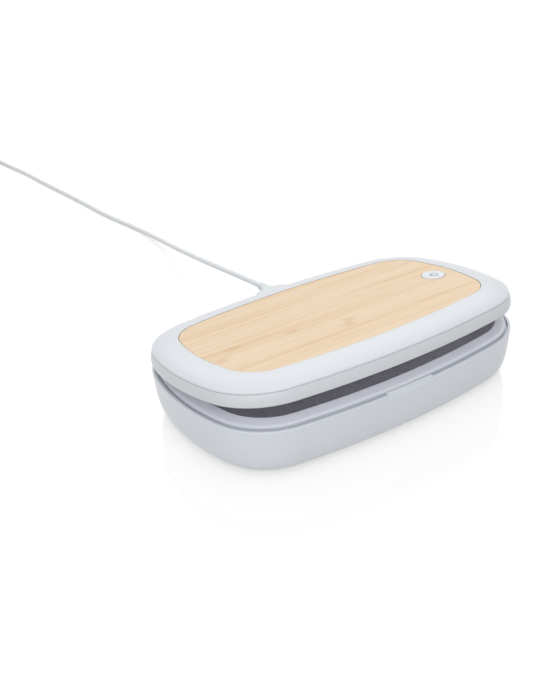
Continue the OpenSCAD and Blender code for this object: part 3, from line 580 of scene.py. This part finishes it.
BASE_DX, BASE_DY = (BASE_L - LID_L) / 2, (BASE_W - LID_W) / 2
base_oval = Oval(BASE_L / 2, BASE_W / 2, SIDE_R + BASE_DY, END_R + BASE_DX,
                 CORNER_R + (BASE_DX + BASE_DY) / 2, marks=(SCOOP_X, HINGE_X))
lid_oval = Oval(LID_L / 2, LID_W / 2, SIDE_R, END_R, CORNER_R, marks=(HINGE_X,))


# ---------------------------------------------------------------- base
def bowl_curve():
    """The bowl's side from its flat sole up to the rim, as [inset, z]."""
    t_sole = 1 - (FOOT_GAP / EDGE_Z) ** (1 / 3)
    t = np.linspace(t_sole, 0, 44)
    inset = 3 * t * (1 - t) ** 2 * 2.2 + 3 * t * t * (1 - t) * 2.5 + t ** 3 * BOWL_TOE
    return np.stack([inset, EDGE_Z * (1 - t) ** 3], 1)


def make_base_shell():
    """The bowl with its rim, the scoop in front and the low rim below the hinge."""
    bowl = bowl_curve()
    rim_i = RIM_W + 0.35
    edge = fillet([[0, EDGE_Z - 0.3], [0, RIM_H, 0.6], [rim_i, RIM_H + 0.1, 0.15], [rim_i, LEDGE_Z]], 7)[1:]
    inner = np.array([[LINER_I + 0.75, LEDGE_Z], [LINER_I + 0.75, LEDGE_Z - 1.5],
                      [WALL_T + 0.6, LEDGE_Z - 4], [4.2, 14.0], [8.6, 5.2], [13.5, FOOT_GAP + WALL_T]])
    plain = np.vstack([bowl, edge, inner])
    # In the scoop the rim's points lie on one slanted flat that reaches over the groove.
    foot = np.array([0.05, RIM_H - SCOOP_D])
    top = np.array([LINER_I - 0.4, RIM_H + 0.45])
    scooped = plain.copy()
    scooped[:len(bowl)][bowl[:, 1] > foot[1]] = foot
    on_flat = len(edge) - 2
    for k in range(on_flat):
        scooped[len(bowl) + k] = foot + (top - foot) * (k + 1) / on_flat
    scooped[len(bowl) + on_flat] = [LINER_I - 0.1, RIM_H + 0.4]
    scooped[len(bowl) + on_flat + 1] = [LINER_I - 0.1, LEDGE_Z]
    # Behind, the rim is cut down for the hinge bracket.
    low_rim = plain.copy()
    low_rim[:, 1] = np.minimum(low_rim[:, 1], LEDGE_Z)

    def profile(x, y):
        if y < 0 and abs(x) < SCOOP_X:
            return scooped
        if y > 0 and abs(x) < HINGE_X:
            return low_rim
        return plain

    shell = loft("bowl_shell", base_oval, profile, SHELL, smooth=38.0, more=(PAINTED_GROOVE_SHADE,))
    # The small upright faces at the scoop's ends take painted shade, as dark as the groove's.
    for face in shell.data.polygons:
        x, y, _ = face.center / MM
        if y < 0 and abs(abs(x) - SCOOP_X) < 0.05 and abs(face.normal.x) > 0.7:
            face.material_index = 1
    weighted(shell)
    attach(shell, "base")
    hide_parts("base_shell")


def make_liner():
    """The pale rim: a bead beside the groove in painted light, then a slope up to the lip."""
    outer_i = LINER_I + 0.25
    inner_i = outer_i + 2.05
    under_z = CROWN_Z - 0.45
    profile = fillet([[outer_i, LEDGE_Z], [outer_i, CROWN_Z - 0.05, 0.3],
                      [outer_i + 0.65, CROWN_Z + 0.05, 0.5], [outer_i + 1.7, CROWN_Z + 0.35],
                      [LIP_IN - 0.55, LIP_Z, 0.7], [LIP_IN, LIP_Z - 0.5, 0.3],
                      [LIP_IN + 0.2, FLANGE_Z + 0.1], [LEG_IN, FLANGE_Z + 0.1],
                      [LEG_IN - 0.2, under_z], [inner_i, under_z], [inner_i, LEDGE_Z]], 6)

    def mark(inset, z):
        """2 for the wall beside the groove, in painted shade, 1 for the bead, in painted light, 0 for the
        rest.
        """
        if inset < outer_i + 0.05 and z < CROWN_Z - 0.2:
            return 2
        return 1 if inset < outer_i + 1.75 and z > CROWN_Z - 1 else 0

    liner = loft("rim_liner_smooth", base_oval, profile, LINER, looped=True, smooth=38.0,
                 more=(PAINTED_LIGHT_BEAD, PAINTED_GROOVE_SHADE), mark=mark)
    weighted(liner)
    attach(liner, "base")
    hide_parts("rim_liner")


def make_tray():
    """The coated tray: its wall curves down from the flange, and its floor has two seats for windows."""
    wall = [[LIP_IN + 0.7, FLANGE_Z], [LIP_IN + 1.8, FLANGE_Z - 0.4 * (FLANGE_Z - TRAY_Z)],
            [LIP_IN + 4.1, TRAY_Z + 4.3], [LIP_IN + 8.3, TRAY_Z + 0.8], [LIP_IN + 13.6, TRAY_Z]]
    inner = smooth_line(wall)
    step = np.gradient(inner, axis=0)
    step /= np.linalg.norm(step, axis=1)[:, None]
    outer = inner + TRAY_T * np.stack([step[:, 1], -step[:, 0]], 1)
    outer[0] = [wall[0][0] - TRAY_T, FLANGE_Z - TRAY_T]
    flange_i = LINER_I + 2.35
    profile = np.vstack([outer[::-1], [[flange_i, FLANGE_Z - TRAY_T], [flange_i, FLANGE_Z]], inner])
    tray = loft("tray_smooth", base_oval, profile, COATING, smooth=40.0)
    seat = (SEAT_R, TRAY_Z - SEAT_D, TRAY_Z + 2)
    opening = (LIGHT_R, TRAY_Z - 4, TRAY_Z - 0.5)
    for x in (-LAMP_X, LAMP_X):
        for r, low, high in (seat, opening):
            tool = lathe("cutter", [[0, low], [r, low], [r, high], [0, high]], (x, 0), COATING, 64)
            cut(tray, tool, smooth=40.0)
    weighted(tray)
    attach(tray, "base")
    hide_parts("cavity_tray")


def make_ribs():
    """Five low ribs across the tray, which fall off at both ends."""
    side, end, top, foot = RIB_W / 2, RIB_L / 2, TRAY_Z + RIB_H, TRAY_Z - 0.3
    fall = [(0, RIB_H), (0.4, 0.7), (1, 0.25), (2, 0)]      # how far from the end, and how much lower
    rows = [(back - end, drop) for back, drop in fall]
    rows += [(end - back, drop) for back, drop in reversed(fall)]
    section = fillet([[-side, foot], [-side, top, 0.45], [side, top, 0.45], [side, foot]], 6)
    n = len(section)
    faces = [(a * n + i, a * n + i + 1, (a + 1) * n + i + 1, (a + 1) * n + i)
             for a in range(len(rows) - 1) for i in range(n - 1)]
    for k in range(-2, 3):
        verts = [(k * RIB_STEP + x, y, min(z, top - drop)) for y, drop in rows for x, z in section]
        rib = mesh_object(f"tray_rib_{k + 3}", verts, faces, COATING)
        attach(rib, "base")


# ---------------------------------------------------------------- lid
def make_band():
    """The lid's lower band, a ring that is open at the hinge."""
    top = SEAM_Z - SEAM_LINE
    outer = smooth_line([[0.0, LID_Z + 0.75], [-0.12, LID_Z + 0.36 * BAND_H], [0.15, LID_Z + 0.65 * BAND_H],
                         [0.55, LID_Z + 0.86 * BAND_H]])
    foot = [[BAND_T - 0.9, LID_Z + 0.02], [1.0, LID_Z, 0.3], [0.35, LID_Z + 0.05, 0.6],
            [0.0, LID_Z + 0.6, 0.5]]
    head = [[SEAM_IN - 0.1, top, 0.6], [STEP_I, top], [STEP_I, DOME_FOOT], [BAND_T, DOME_FOOT],
            [BAND_T, COVER_TOP], [BAND_T, LID_Z + 0.2, 0.2]]
    band = loft("band_smooth", lid_oval, fillet([*foot, *outer, *head], 5), BAND, looped=True, smooth=38.0,
                keep=lambda x, y: not (y > 0 and abs(x) < HINGE_X))
    weighted(band)
    swing(band)
    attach(band, "lid")
    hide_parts("lid_band")


def make_dome():
    """The lid's upper frame, from the seam up to the panel and in below it."""
    foot = SEAM_Z + SEAM_LINE
    curve = bezier([[SEAM_IN, foot + 0.9], [SEAM_IN, foot + 1.7], [8.3, PANEL_Z], [DOME_W, PANEL_Z]], 34)
    ledge_z = PANEL_Z - PANEL_T
    profile = fillet([[SEAM_IN + 4, foot], [SEAM_IN, foot, 0.85], *curve[:-1], [DOME_W, PANEL_Z, 0.25],
                      [DOME_W, ledge_z], [LEDGE_I, ledge_z], [LEDGE_I, DOME_UNDER], [8, DOME_UNDER],
                      [4.2, DOME_FOOT]], 5)

    def mark(inset, z):
        """1 for the shaded joint beside the panel and for the ledge below it."""
        return int(DOME_W - 0.02 < inset < LEDGE_I - 1 and z < PANEL_Z - 0.12)

    dome = loft("dome_smooth", lid_oval, profile, PEARL, looped=True, smooth=38.0, more=(SHADE,), mark=mark)
    hinge_gap = box_tool((-HINGE_X, AXIS_Y - 3.1, SEAM_Z - 2), (HINGE_X, AXIS_Y + 20, PANEL_Z + 2))
    cut(dome, hinge_gap, smooth=38.0)
    weighted(dome)
    swing(dome)
    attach(dome, "lid")
    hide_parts("lid_frame")


def make_panel():
    """The bamboo panel with its softened edge and the hole for the button."""
    low, high = PANEL_Z - PANEL_T, PANEL_Z - PANEL_LOW
    edge = DOME_W + 0.25
    profile = fillet([[edge, low], [edge, high, 0.22], [edge + 1.5, high]], 5)
    panel = loft("bamboo_smooth", lid_oval, profile, BAMBOO, smooth=30.0)
    hole = BUTTON_R + 0.35
    tool = lathe("cutter", [[0, low - 1], [hole, low - 1], [hole, high + 1], [0, high + 1]], BUTTON, BAMBOO)
    cut(panel, tool, smooth=30.0)
    weighted(panel)
    swing(panel)
    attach(panel, "lid")
    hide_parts("bamboo_panel")


def make_button():
    """The cap, slightly hollow on top, with its shaded wall in the hole and its flange below the panel."""
    top = PANEL_Z + 0.1
    r = BUTTON_R - 0.05
    wall = PANEL_Z - 0.3
    under = PANEL_Z - PANEL_T - 0.5
    foot = under - 0.65
    profile = fillet([[0, top - 0.22], [r * 0.45, top - 0.2, 6], [r - 0.75, top, 1.2], [r, top - 0.05, 0.3],
                      [r, wall], [r, under], [r + 0.9, under], [r + 0.9, foot],
                      [r - 1.2, foot], [r - 1.2, top - 1.5], [0, top - 1.5]], 8)[::-1]
    cap = lathe("button_smooth", profile, BUTTON, CAP, 128, more=(SHADE,),
                mark=lambda radius, z: int(radius > r - 0.01 and z < wall + 0.01))
    weighted(cap)
    swing(cap)
    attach(cap, "button")
    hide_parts("button_cap")
    make_print(top - 0.19)


def make_print(z):
    """A plain upright outline with a dash beside it, printed on the cap."""
    outer, inner = (rounded_box(0.9, 0, SIGN_W - 2 * d, SIGN_H - 2 * d, SIGN_R - d) for d in (0, SIGN_LINE))
    dash = rounded_box(-2.2, -0.3, 0.7, 2.2, 0.34)
    n = len(outer)
    faces = [(k, (k + 1) % n, n + (k + 1) % n, n + k) for k in range(n)] + [tuple(range(2 * n, 3 * n))]
    verts = [(BUTTON[0] + x, BUTTON[1] + y, z) for x, y in np.vstack([outer, inner, dash])]
    mark = mesh_object("button_print", verts, faces, PRINT)
    swing(mark)
    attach(mark, "button")


def rounded_box(cx, cy, w, h, r):
    """Points round a rectangle with rounded corners."""
    out = []
    for k, (sx, sy) in enumerate(((1, 1), (-1, 1), (-1, -1), (1, -1))):
        for a in np.linspace(0, math.pi / 2, 8) + k * math.pi / 2:
            out.append((cx + sx * (w / 2 - r) + r * math.cos(a), cy + sy * (h / 2 - r) + r * math.sin(a)))
    return np.array(out)


# ---------------------------------------------------------------- lead
# The route's points are given one by one and are the same as in the part's source.
ROUTE = [(4.5, 86.3, 35.5), (4.4, 91, 35.5), (4.1, 101.5, 35.2), (3.7, 110, 34.6), (4.3, 121.5, 33.1),
         (6, 141, 30), (10, 163, 25.5), (15, 189, 19.8), (20, 216, 14.4), (26, 249, 8.2), (30, 278, 4.2),
         (31, 303, 2.2), (30, 327, 1.75), (26, 354, 1.75), (24, 380, 1.75), (23, 420, 1.75), (21, 455, 1.75),
         (18, 507, 1.75), (17, 545, 1.75), (13, 580, 1.75), (11.2, 598, 2.05), (11, 612.5, 2.35)]
LOOP_R = 23.1                               # radius where the coil begins
LOOP_PITCH = CORD_D + 0.5                   # distance between two loops, and between two layers
LOOP_C = np.array([11 - LOOP_R, 616, 2.35])
IN_TURN, CLIMB_TURN, OUT_TURN = 450, 180, 540           # degrees
ALL_TURN = IN_TURN + CLIMB_TURN + OUT_TURN
TURN_STEP = 5


def loop_point(w):
    """Where the coil is after w degrees: in on the lower layer, up, and out on the upper one."""
    mid = IN_TURN + CLIMB_TURN / 2
    r = LOOP_R - LOOP_PITCH * min(w, mid) / 360 + LOOP_PITCH * max(0, w - mid) / 360
    up = LOOP_PITCH * min(1, max(0, (w - IN_TURN) / CLIMB_TURN))
    a = math.radians(w)
    return LOOP_C + np.array([r * math.cos(a), r * math.sin(a), up])


def relaxed(points, step=3.0, rounds=60):
    """A smooth curve along given points: evened out, then relaxed with both ends held."""
    line = smooth_line(points, 10)
    way = np.concatenate([[0], np.cumsum(np.linalg.norm(np.diff(line, axis=0), axis=1))])
    at = np.linspace(0, way[-1], int(way[-1] / step) + 1)
    out = np.stack([np.interp(at, way, line[:, k]) for k in range(3)], 1)
    for _ in range(rounds):
        out[2:-2] += 0.5 * ((out[1:-3] + out[3:-1]) / 2 - out[2:-2])
    return out


def tail_points():
    """From the coil down to the far plug."""
    x, y, z = loop_point(ALL_TURN)
    return [(x - CORD_D, y, z), (x - 8, y, z - 0.2), (x - 16, y, z - 0.9), (x - 30, y + 1, z - 3),
            (x - 42, y + 2, 2.35), (x - 56, y + 2, 3.9), (x - 60, y + 2, 4)]


def make_cord(ends):
    """The cord from the plug's sleeve to the coil and the far plug, as one open curve."""
    coil = np.array([loop_point(w) for w in range(0, ALL_TURN + 1, TURN_STEP)])
    path = np.vstack([relaxed(ROUTE), coil, relaxed(tail_points(), 2.0, 8)])
    curve = bpy.data.curves.new("power_cord", "CURVE")
    curve.dimensions = "3D"
    curve.bevel_depth = CORD_D / 2 * MM
    curve.bevel_resolution = 5
    curve.use_fill_caps = True
    line = curve.splines.new("POLY")
    line.points.add(len(path) - 1)
    for point, place in zip(line.points, path * MM):
        point.co = (*place, 1)
    curve.materials.append(JACKET)
    cord = bpy.data.objects.new("power_cord", curve)
    bpy.context.scene.collection.objects.link(cord)
    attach(cord, "base")
    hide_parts("cord_run", "cord_coil", "cord_tail")
    tuple(v * MM for v in ROUTE[0])


def bar(name, rows, material, sides=64):
    """A bar along +y with rounded-square sections. A row is its distance, half width, half height and
    squareness, where 2 is an ellipse."""
    verts, faces = [], []
    for d, half_w, half_h, square in rows:
        for k in range(sides):
            w = 2 * math.pi * k / sides
            c, s = math.cos(w), math.sin(w)
            verts.append((half_w * math.copysign(abs(c) ** (2 / square), c), d,
                          half_h * math.copysign(abs(s) ** (2 / square), s)))
    n = len(rows)
    for i in range(n - 1):
        for k in range(sides):
            m = (k + 1) % sides
            faces.append((i * sides + k, (i + 1) * sides + k, (i + 1) * sides + m, i * sides + m))
    faces.append(tuple(range(sides)))
    faces.append(tuple((n - 1) * sides + k for k in reversed(range(sides))))
    return mesh_object(name, verts, faces, material, 40.0)


# Sections of the plug, as bar() takes them: flat wings, then a slim neck.
GRIP = [(0, 11.2, 2.5, 6), (0.5, 11.5, 2.8, 6), (2.6, 11.5, 2.8, 6), (3.5, 11.1, 2.7, 5),
        (4.1, 10.1, 2.6, 4.5), (4.5, 8.6, 2.5, 4), (5, 6.9, 2.45, 3.5), (6.2, 5.2, 2.4, 3),
        (7.8, 3.9, 2.4, 2.6), (9.6, 3.1, 2.35, 2.2), (11.4, 2.5, 2.3, 2)]
SLEEVE_L = 4


def make_plug():
    """The plug's flat wings flow into a slim neck, and a round sleeve follows."""
    grip = bar("plug_grip_smooth", smooth_line(GRIP, 5), LEAD)
    grip.data.transform(Matrix.Translation(Vector((PLUG_X, PLUG_Y, AXIS_Z)) * MM))
    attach(grip, "base")
    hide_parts("plug_grip")
    profile = fillet([[0, 0], [2.7, 0, 0.3], [2.5, SLEEVE_L, 0.5], [0, SLEEVE_L]], 6)
    sleeve = lathe("plug_sleeve", profile, (0, 0), LEAD, 48)
    place = Matrix.Translation(Vector((PLUG_X, PLUG_Y + GRIP[-1][0], AXIS_Z)) * MM)
    sleeve.data.transform(place @ Matrix.Rotation(-math.pi / 2, 4, "X"))
    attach(sleeve, "base")
    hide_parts("plug_relief")
    return [grip, sleeve]


USB_GRIP = (15.6, 8, 24)                    # width, height and length
USB_NECK = 9
USB_ROUND = 1.1


def make_usb_grip():
    """The rounded grip of the USB plug."""
    w, h, length = USB_GRIP
    turn = np.linspace(0, math.pi / 2, 6)
    near = [(USB_ROUND * (1 - math.cos(a)), USB_ROUND * (1 - math.sin(a))) for a in turn]
    far = [(length - d, inset) for d, inset in reversed(near)]
    rows = [(d, w / 2 - inset, h / 2 - inset, 9) for d, inset in near + far]
    grip = bar("usb_grip_smooth", rows, LEAD, 96)
    x, y, z = tail_points()[-1]
    place = Matrix.Translation(Vector((x - USB_NECK, y, z)) * MM)
    grip.data.transform(place @ Matrix.Rotation(math.pi / 2, 4, "Z"))
    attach(grip, "base")
    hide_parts("usb_grip")
    return grip


TIE_W = 8
TIE_T = 0.6
TIE_SPARE = 0.8                             # room between the cords and the strap
TIE_ANGLE = 45


def make_tie():
    """The soft strap, a rounded loop round the cords at one place of the coil."""
    inner_r, outer_r = (math.dist(loop_point(TIE_ANGLE + 360 * k)[:2], LOOP_C[:2]) for k in (1, 3))
    low_r = inner_r - CORD_D / 2 - TIE_SPARE - TIE_T
    high_r = outer_r + CORD_D / 2 + TIE_SPARE + TIE_T
    top = LOOP_C[2] + LOOP_PITCH + CORD_D / 2 + 0.1 + TIE_T
    mid = ((low_r + high_r) / 2, top / 2)
    outside = rounded_box(*mid, high_r - low_r, top, 2.2)
    inside = rounded_box(*mid, high_r - low_r - 2 * TIE_T, top - 2 * TIE_T + 0.1, 1.6)
    side = TIE_W / 2
    section = [(side - 0.2, 0), (side, 0.3), (side, 0.7), (side - 0.2, 1)]      # across, and how far inside
    section += [(-across, share) for across, share in reversed(section)]
    verts = [(r, across, z) for across, share in section for r, z in outside + (inside - outside) * share]
    n, rows = len(outside), len(section)
    faces = [(i * n + k, i * n + (k + 1) % n, (i + 1) % rows * n + (k + 1) % n, (i + 1) % rows * n + k)
             for i in range(rows) for k in range(n)]
    tie = mesh_object("tie_strap", verts, faces, STRAP)
    place = Matrix.Translation(Vector((LOOP_C[0], LOOP_C[1], 0)) * MM)
    tie.data.transform(place @ Matrix.Rotation(math.radians(TIE_ANGLE), 4, "Z"))
    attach(tie, "base")
    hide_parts("cord_tie")
    return tie


# ---------------------------------------------------------------- floor and light
FLOOR_REACH = 6.0                           # from the middle to each side
FLOOR_COLOUR = (0.745, 0.727, 0.71, 1)
FLOOR_SHARE, FLOOR_GLOW = 0.2, 0.478        # share of the floor that shines, and how bright it makes it
WORLD_COLOUR, WORLD_STRENGTH = (0.95, 0.975, 1.0, 1), 0.45
AIM = (0, 0, 0.03)
STUDIO = [                                  # name, place and size in metres, and power in watts
    ("overhead", (0, 0, 1.3), (1.6, 1.6), 6.1),
    ("front_fill", (-0.55, -0.9, 0.7), (1.0, 1.0), 5.1),
    ("left_fill", (-1.5, -0.6, 0.3), (1.0, 0.6), 2.3),
    ("back_light", (0.5, 0.85, 0.9), (1.4, 0.8), 4.2),
]


def make_floor():
    """A plain floor that shows white to the camera, and keeps the object's soft shadow and a faint
    mirror image."""
    mesh = bpy.data.meshes.new("floor")
    s = FLOOR_REACH
    mesh.from_pydata([(-s, -s, 0), (s, -s, 0), (s, s, 0), (-s, s, 0)], [], [(0, 1, 2, 3)])
    floor = bpy.data.objects.new("floor", mesh)
    bpy.context.scene.collection.objects.link(floor)
    shade = Shading(bpy.data.materials.new("floor_white"))
    shade.surface(Base_Color=FLOOR_COLOUR, Roughness=0.06, Specular_IOR_Level=0.6)
    glow = shade.node("ShaderNodeEmission", Strength=FLOOR_GLOW / FLOOR_SHARE)
    share = shade.math("MULTIPLY", shade.background_rays(), FLOOR_SHARE)
    plain = shade.tree.nodes["Principled BSDF"].outputs["BSDF"]
    shade.blend(share, plain, glow.outputs["Emission"], "Material Output")
    mesh.materials.append(shade.owner)


def make_light():
    """A pale world that the camera sees as white, and four soft lamps."""
    bpy.context.scene.world = bpy.data.worlds.new("studio")
    shade = Shading(bpy.context.scene.world)
    lit = shade.tree.nodes["Background"]
    shade.put(WORLD_COLOUR, lit.inputs["Color"])
    shade.put(WORLD_STRENGTH, lit.inputs["Strength"])
    white = shade.node("ShaderNodeBackground", Color=(1, 1, 1, 1), Strength=1.0)
    shade.blend(shade.background_rays(), lit.outputs["Background"], white.outputs["Background"],
                "World Output")
    for name, place, size, power in STUDIO:
        data = bpy.data.lights.new(name, "AREA")
        data.shape = "RECTANGLE"
        data.size, data.size_y = size
        data.energy = power
        lamp = bpy.data.objects.new(name, data)
        lamp.location = place
        lamp.rotation_euler = (Vector(AIM) - Vector(place)).to_track_quat("-Z", "Y").to_euler()
        bpy.context.scene.collection.objects.link(lamp)


make_cord([*make_plug(), make_usb_grip(), make_tie()])
make_base_shell()
make_liner()
make_tray()
make_ribs()
make_band()
make_dome()
make_panel()
make_button()
make_floor()
make_light()
bpy.context.scene.view_settings.view_transform = "Standard"
